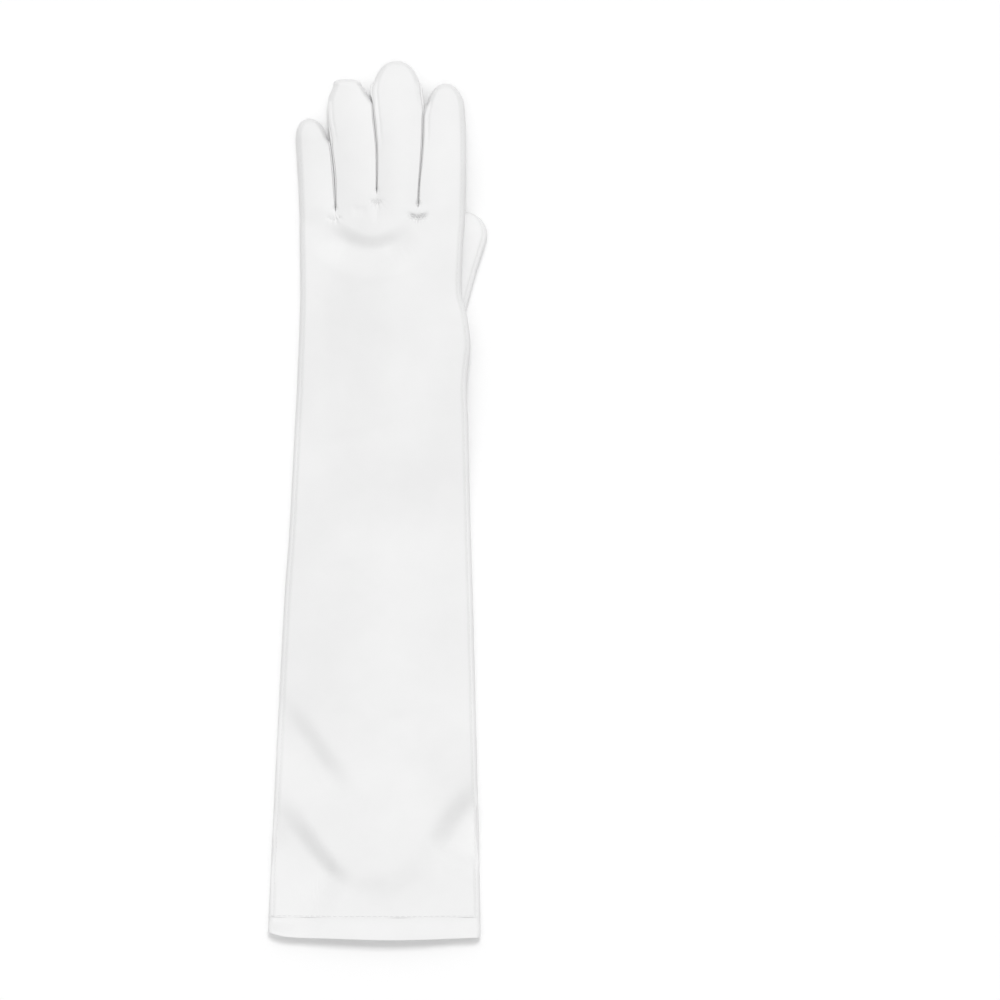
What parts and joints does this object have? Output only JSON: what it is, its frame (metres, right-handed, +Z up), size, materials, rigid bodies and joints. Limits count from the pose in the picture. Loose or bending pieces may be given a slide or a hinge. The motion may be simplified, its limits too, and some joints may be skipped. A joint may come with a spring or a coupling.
{
  "type": "long costume glove",
  "caption": "Long satin dress glove for the left hand, lying flat palm down: a hollow sleeve and hand, strips between the fingers, a thumb tucked under the palm and a turned hem",
  "frame": {"origin": "middle of the underside's outline, on the surface that the glove lies on", "axes": "+Z up, +Y along the glove towards the fingertips, +X towards the thumb side"},
  "size_m": [0.1123, 0.4493, 0.0183],
  "materials": {
    "satin": "white polyester satin with a soft sheen",
    "thread": "white sewing thread"
  },
  "bodies": {
    "root": {"back_panel": "satin", "palm_panel": "satin", "fourchette_pinky_ring": "satin", "fourchette_ring_middle": "satin", "fourchette_middle_index": "satin", "thumb": "satin", "hem_band": "satin"}
  },
  "joints": []
}
